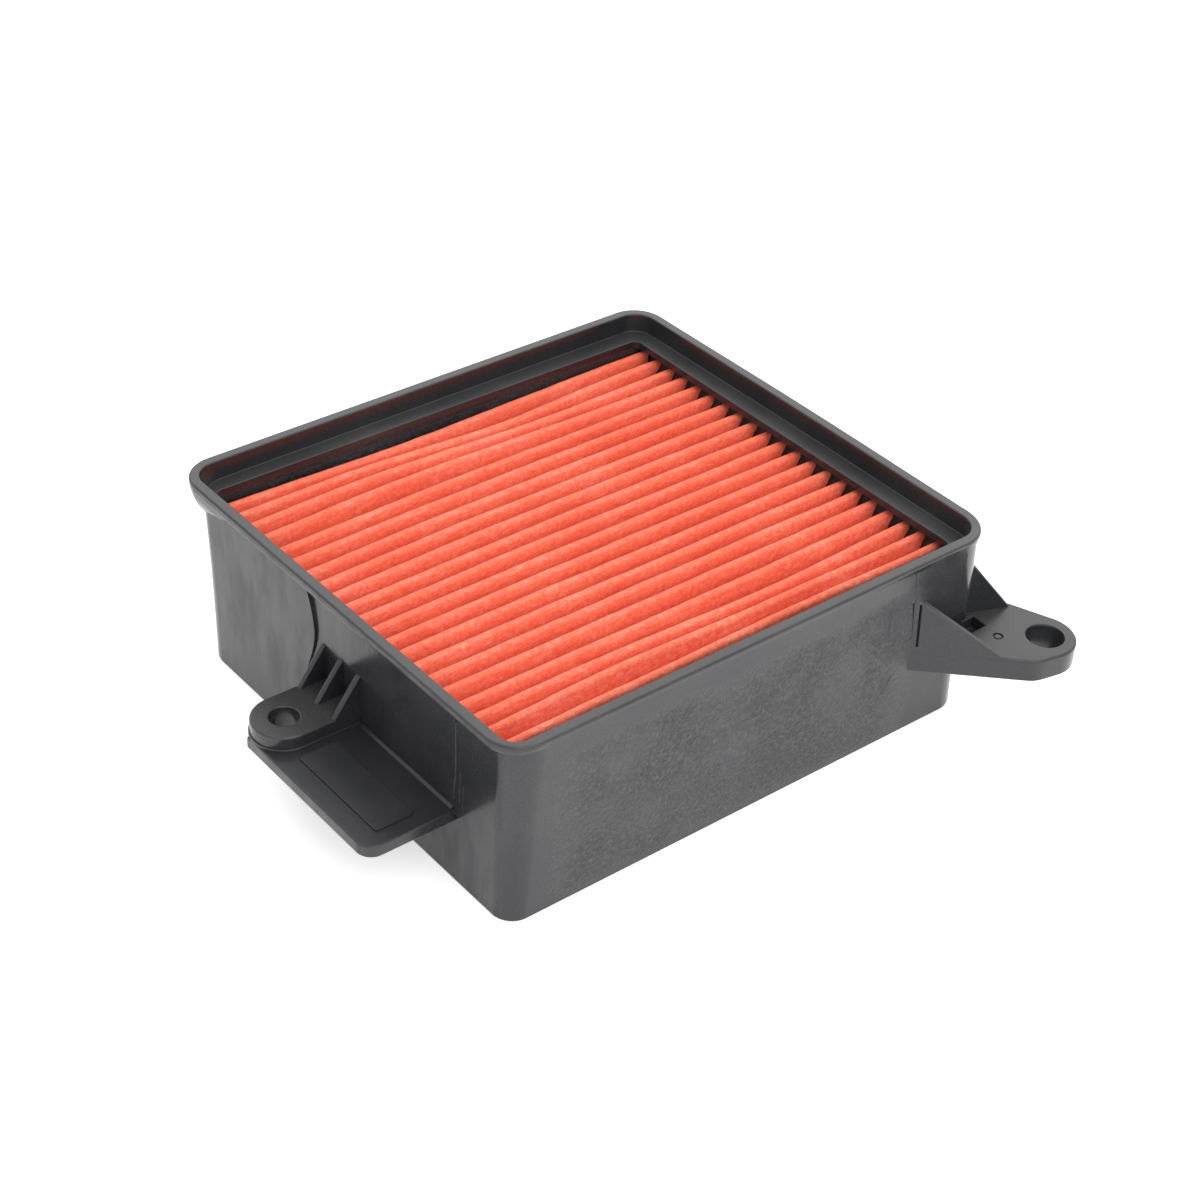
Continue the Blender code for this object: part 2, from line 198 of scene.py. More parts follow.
def slab(name, outline, z0, z1, r0=0.0, r1=0.0, n=4):
    """Flat solid with rounded lower (r0) and upper (r1) edges."""
    outline = ccw(outline)
    loops = []
    if r0 > 0:
        loops += [flat_loop(inset(outline, i), z0 + d) for i, d in reversed(quarter(r0, n))]
    else:
        loops.append(flat_loop(outline, z0))
    if r1 > 0:
        loops += [flat_loop(inset(outline, i), z1 - d) for i, d in quarter(r1, n)]
    else:
        loops.append(flat_loop(outline, z1))
    return stack(name, loops)


def cutter(name, outline, z0, z1, top=None, r_top=0.0, r_bot=0.0, flare_bot=0.0, n=4):
    """Cutting tool: floor corners rounded by r_bot, mouth edge at height top rounded
    by r_top, and the lower mouth edge at z0 rounded by flare_bot."""
    outline = ccw(outline)
    loops = []
    if flare_bot > 0:
        loops.append(flat_loop(inset(outline, -flare_bot), z0 - 1.5))
        loops += [flat_loop(inset(outline, -i), z0 + d) for i, d in reversed(quarter(flare_bot, n))]
    elif r_bot > 0:
        loops += [flat_loop(inset(outline, i), z0 + d) for i, d in reversed(quarter(r_bot, n))]
    else:
        loops.append(flat_loop(outline, z0))
    if r_top > 0:
        loops += [flat_loop(inset(outline, -i), top - d) for i, d in quarter(r_top, n)]
        loops.append(flat_loop(inset(outline, -r_top), z1))
    else:
        loops.append(flat_loop(outline, z1))
    return stack(name, loops)


def plate(name, p, q, thick, profile, r=0.35, n=3):
    """Upright plate on the plan line p to q, its edges rounded on both faces."""
    profile = ccw(profile)
    d = Vector((q[0] - p[0], q[1] - p[1])).normalized()
    m = Vector((-d.y, d.x))
    loops = []
    ends = [(i, dd) for i, dd in reversed(quarter(r, n))] + [(i, thick - dd) for i, dd in quarter(r, n)]
    for i, w in ends:
        loops.append([world(p[0] + d.x * s + m.x * w, p[1] + d.y * s + m.y * w, z)
                      for s, z in inset(profile, i)])
    return stack(name, loops)


def combine(base, other, how):
    mod = base.modifiers.new("join", 'BOOLEAN')
    mod.operation = how
    mod.solver = 'EXACT'
    mod.object = other
    dg = bpy.context.evaluated_depsgraph_get()
    dg.update()
    me = bpy.data.meshes.new_from_object(base.evaluated_get(dg))
    base.modifiers.clear()
    old = base.data
    base.data = me
    bpy.data.meshes.remove(old)
    bpy.data.objects.remove(other, do_unlink=True)


def bake_modifiers(ob):
    dg = bpy.context.evaluated_depsgraph_get()
    dg.update()
    me = bpy.data.meshes.new_from_object(ob.evaluated_get(dg))
    ob.modifiers.clear()
    old = ob.data
    ob.data = me
    bpy.data.meshes.remove(old)


# --------------------------------------------------------------------- housing
def make_housing():
    # drafted walls
    def wall(z, d):
        i = max(k for k in range(len(WALLS) - 1) if WALLS[k][0] <= z)
        a, b = WALLS[i], WALLS[i + 1]
        t = (z - a[0]) / (b[0] - a[0])
        q = [p + (r - p) * t for p, r in zip(a[1:7], b[1:7])]
        rad = [p + (r - p) * t for p, r in zip(a[7], b[7])]
        return flat_loop(quad_in(q, rad, d), z)
    loops = [wall(d, i) for i, d in reversed(quarter(0.14, 3))] + [wall(w[0], 0.0) for w in WALLS[1:]]
    body = stack("air_filter_housing", loops, True)

    # slide-core area on the left wall: a shallow step that the shelf stands in
    edge = [(72.6, 43.6), (71.7, 41.1), (70.5, 38.0), (69.8, 35.1), (69.4, 32.6), (69.5, 30.3), (70.0, 28.2),
            (70.6, 26.2), (71.9, 22.7), (73.2, 19.5), (74.6, 16.4)]
    prof = edge + [(40.0, 15.9), (20.2, 16.1), (18.7, 16.8), (18.7, 43.6)]
    bm = bmesh.new()
    a = [bm.verts.new(world(-6.0, y, z)) for y, z in prof]
    b = [bm.verts.new(world(2.85 + 0.25 * (z - 15.5) / 28.1, y, z)) for y, z in prof]
    k = len(a)
    for i in range(k):
        j = (i + 1) % k
        bm.faces.new((a[i], a[j], b[j], b[i]))
    bm.faces.new(list(reversed(a)))
    bm.faces.new(b)
    bmesh.ops.recalc_face_normals(bm, faces=bm.faces[:])
    combine(body, link("cut", bm), 'DIFFERENCE')

    # lip: proud on three sides, running flush into the front wall
    lip = (0.0, 0.0, 0.0, LIP_X, LIP_Y, LIP_Y_LEFT)
    loops = []
    z_low = HEIGHT - LIP_DROP
    for i, d in reversed(quarter(0.5, 4)):
        loops.append(flat_loop(quad_in(lip, LIP_R, i, f=0.22, bow=0.45), z_low + d))
    loops.append(flat_loop(quad_in(lip, LIP_R, 0.0, f=0.02, bow=0.45), HEIGHT - 1.2))
    for i, d in quarter(0.55, 5):
        loops.append(flat_loop(quad_in(lip, LIP_R, i, bow=0.45), HEIGHT - d))
    combine(body, stack("lip", loops), 'UNION')

    # deep rear flange wrapping both rear corners, tapering into the walls below
    rr, rl = LIP_R[2], LIP_R[3]
    loops = []
    for i, yl, z in ((2.3, 111.9, 38.9), (1.8, 111.2, 39.7), (1.3, 110.0, 40.5), (0.9, 108.2, 41.4), (0.6, 105.6, 42.3),
                     (0.3, 102.0, 43.3), (0.1, 98.0, HEIGHT - 1.3)):
        loops.append(flat_loop([(3.0, yl), (LIP_X - 3.0, REAR_FLANGE_Y)]
                               + arc(LIP_X - rr, LIP_Y - rr, rr - 0.05 - i, 3, 90, 13)
                               + arc(rl, LIP_Y_LEFT - rl, rl - 0.05 - i, 90, 180, 13) + [(0.05 + i, yl)], z))
    combine(body, stack("rear_flange", loops, True), 'UNION')

    # shelf and left ear
    outline = ([(6.0, SHELF_Y0), (6.0, SHELF_Y1), (SHELF_X + 0.9, SHELF_Y1), (SHELF_X, SHELF_Y1 - 0.5)]
               + arc(SHELF_X + SHELF_R, SHELF_Y0 + SHELF_R, SHELF_R, 180, 270, 10))
    combine(body, slab("shelf", outline, SHELF_BOT, SHELF_TOP, 0.3, 0.4, 3), 'UNION')
    outline = ([(6.0, EAR_L[1] - EAR_L_R), (6.0, EAR_L[1] + EAR_L_R)]
               + arc(EAR_L[0], EAR_L[1], EAR_L_R, 90, 270, 32))
    combine(body, slab("boss", outline, EAR_L_BOT + 0.05, EAR_L_TOP, 0.3, 0.5, 4), 'UNION')
    combine(body, slab("boss_foot", [(6.0, EAR_L[1] - EAR_L_R - 0.3), (6.0, EAR_L[1] + EAR_L_R + 0.3)]
                       + arc(EAR_L[0], EAR_L[1], EAR_L_R + 0.3, 90, 270, 32), SHELF_TOP - 0.6, SHELF_TOP + 0.58,
                       0.0, 0.2, 3), 'UNION')
    pad = rounded_rect(*PANEL, 0.7, 5)
    combine(body, slab("pad", pad, SHELF_TOP - 0.7, SHELF_TOP + PANEL_RISE, 0.0, 0.14, 2), 'UNION')
    for y in RIB_Y:
        rib = plate("rib", (3.6, y + RIB_T / 2), (-10.0, y + RIB_T / 2), RIB_T,
                    [(-1.6, EAR_L_TOP - 1.5), (RIB_REACH + 1.3, EAR_L_TOP - 1.5), (RIB_REACH + 1.3, EAR_L_TOP),
                     (1.1, RIB_TOP), (-1.6, RIB_TOP + 0.8)], 0.4)
        combine(body, rib, 'UNION')

    # right ear, its two gussets
    outline = hull([LUG_FRONT, (LUG_FRONT[0], 8.0), (126.0, 8.0), LUG_WALL, LUG_REAR]
                   + arc(*EAR_R_END, EAR_R_R, 0, 350, 70) + arc(*EAR_R_SHOULDER, EAR_R_SHOULDER_R, 0, 350, 70))
    combine(body, slab("lug", outline, EAR_R_BOT, EAR_R_TOP, 0.35, 0.6), 'UNION')
    reach = math.hypot(EAR_R_SHOULDER[0] - LUG_FRONT[0], EAR_R_SHOULDER[1] - LUG_FRONT[1])
    turn = (math.atan2(EAR_R_SHOULDER[1] - LUG_FRONT[1], EAR_R_SHOULDER[0] - LUG_FRONT[0])
            - math.asin(EAR_R_SHOULDER_R / reach))
    along = (LUG_FRONT[0] + math.cos(turn) * 20, LUG_FRONT[1] + math.sin(turn) * 20)
    side = (-math.sin(turn) * 0.12, math.cos(turn) * 0.12)
    p = (LUG_FRONT[0] + side[0], LUG_FRONT[1] + side[1])
    q = (along[0] + side[0], along[1] + side[1])
    combine(body, plate("front_gusset", p, q, GUSSET_T,
                        [(-1.2, EAR_R_TOP - 1.5), (FRONT_GUSSET_LEN + 1.4, EAR_R_TOP - 1.5),
                         (FRONT_GUSSET_LEN + 1.2, EAR_R_TOP - 0.8), (0.0, FRONT_GUSSET_TOP),
                         (-1.2, FRONT_GUSSET_TOP + 0.8)], 0.3), 'UNION')
    span = math.hypot(LUG_WALL[0] - LUG_REAR[0], LUG_WALL[1] - LUG_REAR[1])
    combine(body, plate("rear_gusset", LUG_REAR, LUG_WALL, GUSSET_T,
                        [(0.0, EAR_R_TOP - 1.2), (span + 0.8, EAR_R_TOP - 1.2), (span + 0.8, REAR_GUSSET_TOP + 0.6),
                         (span - 0.6, REAR_GUSSET_TOP), (0.0, EAR_R_TOP - 0.4)], 0.3), 'UNION')

    # recess inside the lip, the mouth over the paper, the cavity below the ledge
    def recess(x, i, z):
        """Level outline at height z: left side at x, grown by i all round."""
        return flat_loop(quad_in((x - LIP_W, 0.0, 0.0, LIP_X, LIP_Y, LIP_Y_LEFT), [r + LIP_W for r in LIP_R_IN],
                                 LIP_W - i, bow=0.3), z)
    low, high = 4.3, LIP_W                       # the wall thickens below the lip on the left
    loops = [recess(low, -i, LEDGE_Z + d) for i, d in reversed(quarter(0.22, 4))]
    loops += [recess(low, 0.0, HEIGHT - 3.3), recess(high, 0.0, HEIGHT - 1.6)]
    loops += [recess(high, i, HEIGHT - d) for i, d in quarter(0.4, 4)] + [recess(high, 0.4, HEIGHT + 2.0)]
    combine(body, stack("cut", loops, True), 'DIFFERENCE')
    combine(body, cutter("cut", rounded_rect(*CAVITY, CAVITY_R), 0.0, LEDGE_Z - LEDGE_T, flare_bot=0.14),
            'DIFFERENCE')
    combine(body, cutter("cut", rounded_rect(*MOUTH, MOUTH_R, 6), LEDGE_Z - LEDGE_T - 1.0, LEDGE_Z + 1.0,
                         top=LEDGE_Z, r_top=0.2), 'DIFFERENCE')

    # support bars across the clean side
    x0, y0, x1, y1 = CAVITY
    for bx in BARS_X:
        bar = plate("bar", (bx + BAR_W / 2, y0 - 0.8), (bx + BAR_W / 2, y1 + 0.8), BAR_W,
                    [(0.0, BAR_Z0), (y1 - y0 + 1.6, BAR_Z0), (y1 - y0 + 1.6, BAR_Z1), (0.0, BAR_Z1)], 0.4)
        combine(body, bar, 'UNION')
    bar = plate("bar", (x0 - 0.8, BAR_Y - BAR_W / 2), (x1 + 0.8, BAR_Y - BAR_W / 2), BAR_W,
                [(0.0, BAR_Z0 + 0.12), (x1 - x0 + 1.6, BAR_Z0 + 0.12), (x1 - x0 + 1.6, BAR_Z1 - 0.08), (0.0, BAR_Z1 - 0.08)],
                0.4)
    combine(body, bar, 'UNION')

    # screw holes, pocket behind the front gusset
    combine(body, cutter("cut", arc(*EAR_L, EAR_L_HOLE - 0.1, 0, 352.5, 47), 5.0, 35.0, top=EAR_L_TOP, r_top=0.35),
            'DIFFERENCE')
    n = 48
    loops = []
    for r, z in ((3.2, 5.0), (3.3, 17.3), (3.8, 19.6), (4.05, 20.6), (4.2, 22.2), (4.28, 22.62), (4.42, 22.84), (4.62, 22.9), (4.62, 35.0)):
        loops.append(flat_loop(arc(*EAR_R, r, 0, 360 - 360 / n, n - 1), z))
    combine(body, stack("cut", loops), 'DIFFERENCE')
    combine(body, cutter("cut", POCKET, EAR_R_TOP - POCKET_DEPTH, EAR_R_TOP + 2.0, top=EAR_R_TOP,
                         r_top=0.25, r_bot=0.4), 'DIFFERENCE')

    # moulding marks: ejector mark on the lug, scar and scratch on the front wall, flash lines
    combine(body, slab("cut", arc(131.5, -7.0, 1.25, 0, 345, 23), EAR_R_TOP - 0.4, EAR_R_TOP + 1.0), 'DIFFERENCE')
    combine(body, slab("pip", arc(131.5, -7.0, 0.8, 0, 345, 23), EAR_R_TOP - 0.9, EAR_R_TOP - 0.06, 0.0, 0.15, 2), 'UNION')

    def scar(a, b, wide, y, depth):
        u = Vector((b[0] - a[0], b[1] - a[1])).normalized() * (wide / 2)
        pts = [(a[0] - u.y, a[1] + u.x), (a[0] + u.y, a[1] - u.x), (b[0] + u.y, b[1] - u.x), (b[0] - u.y, b[1] + u.x)]
        return stack("cut", [[world(x, y - 1.2, z) for x, z in pts], [world(x, y, z) for x, z in pts],
                             [world(x + (b[0] + a[0] - 2 * x) * 0.06, y + depth, z) for x, z in pts]], True)
    combine(body, scar((109.5, 36.6), (111.0, 26.5), 1.0, 0.33, 0.22), 'DIFFERENCE')
    combine(body, scar((112.1, 35.2), (112.5, 23.9), 0.4, 0.35, 0.45), 'DIFFERENCE')
    combine(body, scar((106.7, 18.1), (100.8, 9.8), 0.22, 0.66, 0.10), 'DIFFERENCE')

    def flash(path, r, n=6):
        loops = []
        for i, (x, y, z) in enumerate(path):
            w = r * (0.75 + 0.5 * noise.noise(Vector((i * 1.7, z, x)))) * (0.4 if i in (0, len(path) - 1) else 1.0)
            loops.append([world(x + w * math.cos(2 * math.pi * k / n + 0.3), y + w * math.sin(2 * math.pi * k / n + 0.3), z)
                          for k in range(n)])
        return stack("flash", loops, True)

    def along_path(knots, steps):
        out = []
        for p, q in zip(knots, knots[1:]):
            out += [tuple(u + (v - u) * k / steps for u, v in zip(p, q)) for k in range(steps)]
        return out + [knots[-1]]
    combine(body, flash(along_path([(2.98, 20.8, 20.0), (3.0, 20.2, 28.6), (3.1, 20.8, 40.6)], 9), 0.17), 'UNION')
    combine(body, flash(along_path([(3.02, 20.8, 40.1), (3.02, 20.8, 41.0)], 5), 0.5, 8), 'UNION')
    combine(body, flash(along_path([(2.52, 18.2, 21.5), (2.47, 18.0, 30.0)], 8), 0.09), 'UNION')
    combine(body, flash(along_path([(2.53, 17.0, 20.5), (2.48, 16.9, 27.0)], 8), 0.07), 'UNION')
    # small fillet where the shelf meets the wall
    tri = [(3.6, 18.05), (2.2, 18.05), (2.2, 18.33), (2.45, 18.45), (2.75, 18.75), (2.9, 19.1), (3.6, 19.1)]
    combine(body, stack("fillet", [[world(x, y, z) for x, z in tri] for y in (20.6, 52.4)]), 'UNION')
    combine(body, flash(along_path([(111.0, 0.32, 35.2), (109.6, 0.24, 38.7), (108.9, 0.14, 45.4)], 8), 0.2), 'UNION')
    combine(body, flash(along_path([(103.3, 0.42, 29.8), (102.8, 0.2, 41.0)], 8), 0.07), 'UNION')
    return body


def settle(ob, angle=38.0):
    bm = bmesh.new()
    bm.from_mesh(ob.data)
    bmesh.ops.remove_doubles(bm, verts=bm.verts[:], dist=4e-6)
    bmesh.ops.dissolve_degenerate(bm, dist=1e-6, edges=bm.edges[:])
    bmesh.ops.recalc_face_normals(bm, faces=bm.faces[:])
    bm.to_mesh(ob.data)
    bm.free()
    ob.data.shade_smooth()
    ob.data.set_sharp_from_angle(angle=math.radians(angle))
    mod = ob.modifiers.new("normals", 'WEIGHTED_NORMAL')
    mod.keep_sharp = True
    mod.weight = 80
    bake_modifiers(ob)


# ----------------------------------------------------------------- pleated pack
# bows of single crests: crest number -> (rise toward the rear, centre x, half width)
BOWS = {0: ((-1.6, 55, 42),), 1: ((0.5, 28, 18), (-2.0, 80, 26)), 2: ((1.3, 40, 24), (-1.0, 92, 24)),
        3: ((1.5, 47, 30),), 17: ((-0.5, 60, 45),), 18: ((-1.4, 88, 30),), 19: ((1.3, 44, 26),),
        20: ((0.7, 75, 34),)}


def crest_y(i, x):
    y = 112.9 - PITCH * i
    t = i / (CRESTS - 1)
    droop = 1.5 * math.exp(-((t - 0.28) / 0.26) ** 2)
    y -= droop * math.exp(-(x / 34.0) ** 2) * (1.0 if i > 3 else 0.3)
    for rise, c, w in BOWS.get(i, ()):
        y += rise * math.exp(-((x - c) / w) ** 2)
    y += 0.22 * noise.noise(Vector((x * 0.035, i * 3.7, 1.3)))
    y += 0.10 * noise.noise(Vector((x * 0.16, i * 2.9, 7.1)))
    return y


def make_paper():
    xs = np.linspace(PAPER_X[0], PAPER_X[1], 110)
    r_c, r_v = 1.02 - PAPER_T / 2, 0.75 - PAPER_T / 2
    columns = []
    for x in xs:
        ys = [crest_y(i, x) for i in range(CRESTS)]
        zs = [CREST_Z + 0.18 * noise.noise(Vector((x * 0.05, i * 5.1, 3.3)))
              + 0.06 * noise.noise(Vector((x * 0.4, i * 4.3, 9.2))) for i in range(CRESTS)]
        mid = []

        def flank(a, b, i, sgn, n=7):
            """Points between the end of one fold and the start of the next, gently bellied."""
            for k in range(1, n):
                t = (k / n) ** 1.0
                y = a[0] + (b[0] - a[0]) * t
                z = a[1] + (b[1] - a[1]) * t
                belly = math.sin(math.pi * t) * (0.22 + 0.25 * noise.noise(Vector((x * 0.03, i * 3.1 + sgn, t * 1.7))))
                ripple = 0.05 * noise.noise(Vector((x * 0.35, i * 7.7 + sgn * 3.0, z * 0.35)))
                mid.append((y + sgn * belly + ripple, z))
        folds = []
        for i in range(CRESTS):
            zc = zs[i] - PAPER_T / 2 - r_c
            lean = math.radians(5.0)
            pts = [(ys[i] + r_c * math.cos(a), zc + r_c * math.sin(a))
                   for a in np.linspace(lean, math.pi - lean, 9)]
            folds.append(pts)
            if i < CRESTS - 1:
                yv = 0.5 * (ys[i] + ys[i + 1]) + 0.15 * noise.noise(Vector((x * 0.04, i * 2.3, 5.5)))
                zv = VALLEY_Z + PAPER_T / 2 + r_v
                pts = [(yv + r_v * math.cos(a), zv + r_v * math.sin(a))
                       for a in np.linspace(-lean, -math.pi + lean, 6)]
                folds.append(pts)
        mid.append((folds[0][0][0] + 0.25, FLAP_Z))
        flank(mid[0], folds[0][0], -1, 0.0, 5)
        for f, pts in enumerate(folds):
            mid.extend(pts)
            if f < len(folds) - 1:
                flank(pts[-1], folds[f + 1][0], f, 1.0 if f % 2 else -1.0)
        last = (folds[-1][-1][0] - 0.25, FLAP_Z)
        flank(mid[-1], last, 99, 0.0, 5)
        mid.append(last)
        columns.append(mid)
    m = np.array(columns)                       # (x, profile, yz)
    t = np.gradient(m, axis=1)
    t /= np.linalg.norm(t, axis=2, keepdims=True)
    nrm = np.stack([-t[..., 1], t[..., 0]], -1)
    up = m - nrm * PAPER_T / 2
    lo = m + nrm * PAPER_T / 2
    bm = bmesh.new()
    top = [[bm.verts.new(world(x, *up[c, k])) for k in range(m.shape[1])] for c, x in enumerate(xs)]
    bot = [[bm.verts.new(world(x, *lo[c, k])) for k in range(m.shape[1])] for c, x in enumerate(xs)]
    nc, nk = len(xs), m.shape[1]
    for c in range(nc - 1):
        for k in range(nk - 1):
            bm.faces.new((top[c][k], top[c][k + 1], top[c + 1][k + 1], top[c + 1][k]))
            bm.faces.new((bot[c][k], bot[c + 1][k], bot[c + 1][k + 1], bot[c][k + 1]))
    for k in range(nk - 1):
        bm.faces.new((top[0][k], bot[0][k], bot[0][k + 1], top[0][k + 1]))
        bm.faces.new((top[-1][k], top[-1][k + 1], bot[-1][k + 1], bot[-1][k]))
    for c in range(nc - 1):
        bm.faces.new((top[c][0], top[c + 1][0], bot[c + 1][0], bot[c][0]))
        bm.faces.new((top[c][-1], bot[c][-1], bot[c + 1][-1], top[c + 1][-1]))
    bmesh.ops.recalc_face_normals(bm, faces=bm.faces[:])
    ob = link("pleated_filter_paper", bm)
    ob.data.shade_smooth()
    ob.data.set_sharp_from_angle(angle=math.radians(60))
    return ob


# ------------------------------------------------------------------ adhesive runs
def bead(name, lo, hi, axis, wobble, seed, steps=120):
    """A run of set adhesive filling the box lo..hi, long along axis, with an uneven skin."""
    a = axis
    b, c = [k for k in range(3) if k != a]
    rows = []
    for s in range(steps + 1):
        t = s / steps
        end = min(t, 1 - t) * (hi[a] - lo[a])
        pinch = min(1.0, 0.55 + 0.45 * math.sqrt(min(1.0, end / 1.2)))
        row = []
        for k in range(28):
            g = 2 * math.pi * k / 28
            cg, sg = math.cos(g), math.sin(g)
            u = math.copysign(abs(cg) ** 0.28, cg) * 0.5
            v = math.copysign(abs(sg) ** 0.28, sg) * 0.5
            p = [0.0, 0.0, 0.0]
            p[a] = lo[a] + (hi[a] - lo[a]) * t
            q = Vector((p[a] * 0.22, u * 2.0 + seed, v * 2.0))
            w = 1.0 - wobble * (0.5 + 0.5 * noise.noise(q)) - 0.5 * wobble * (0.5 + 0.5 * noise.noise(q * 4.0))
            p[b] = 0.5 * (lo[b] + hi[b]) + (hi[b] - lo[b]) * u * w * pinch
            p[c] = 0.5 * (lo[c] + hi[c]) + (hi[c] - lo[c]) * v * (1 - (1 - w) * 0.35) * pinch
            row.append(world(*p))
        rows.append(row)
    ob = stack(name, rows)
    ob.data.shade_smooth()
    return ob


def wedge(name, section, y0, y1, lump, seed, steps=210):
    """Adhesive run along Y with an (x, z) section whose inner face swells and slumps
    between the pleats."""
    pts = []
    for (a, b), (c, d) in zip(section, section[1:] + section[:1]):
        m = max(1, int(math.hypot(c - a, d - b) / 1.6))
        pts += [(a + (c - a) * k / m, b + (d - b) * k / m) for k in range(m)]
    xm = max(p[0] for p in pts)
    rows = []
    for s in range(steps + 1):
        y = y0 + (y1 - y0) * s / steps
        row = []
        for x, z in pts:
            w = lump * (noise.noise(Vector((y * 0.9, z * 0.35, seed))) + 0.5 * noise.noise(Vector((y * 2.3, z * 0.9, seed))))
            row.append(world(x + w if x < xm - 0.05 else x, y, z))
        rows.append(row)
    ob = stack(name, rows)
    ob.data.shade_smooth()
    ob.data.set_sharp_from_angle(angle=math.radians(60))
    return ob


# -------------------------------------------------------------------- materials
def shader(name):
    m = bpy.data.materials.new(name)
    m.use_nodes = True
    nt = m.node_tree
    return m, nt, nt.nodes["Principled BSDF"]


def node(nt, kind, **kw):
    nd = nt.nodes.new(kind)
    for k, v in kw.items():
        setattr(nd, k, v)
    return nd


def noise_tex(nt, vec, scale, detail=3.0, rough=0.55):
    nd = node(nt, "ShaderNodeTexNoise")
    nd.inputs["Scale"].default_value = scale
    nd.inputs["Detail"].default_value = detail
    nd.inputs["Roughness"].default_value = rough
    nt.links.new(vec, nd.inputs["Vector"])
    return nd.outputs["Fac"]


def ramp(nt, fac, stops):
    nd = node(nt, "ShaderNodeValToRGB")
    el = nd.color_ramp.elements
    while len(el) < len(stops):
        el.new(0.5)
    for e, (pos, col) in zip(el, stops):
        e.position = pos
        e.color = (*col, 1.0) if hasattr(col, "__len__") else (col, col, col, 1.0)
    nt.links.new(fac, nd.inputs["Fac"])
    return nd.outputs["Color"]


def maths(nt, op, a, b=None, clamp=False):
    nd = node(nt, "ShaderNodeMath", operation=op, use_clamp=clamp)
    for k, v in enumerate((a, b)):
        if v is None:
            continue
        if isinstance(v, (int, float)):
            nd.inputs[k].default_value = v
        else:
            nt.links.new(v, nd.inputs[k])
    return nd.outputs[0]


def span(nt, v, a, b, lo=0.0, hi=1.0):
    nd = node(nt, "ShaderNodeMapRange", interpolation_type='SMOOTHSTEP')
    for k, val in (("From Min", a), ("From Max", b), ("To Min", lo), ("To Max", hi)):
        nd.inputs[k].default_value = val
    nt.links.new(v, nd.inputs["Value"])
    return nd.outputs["Result"]


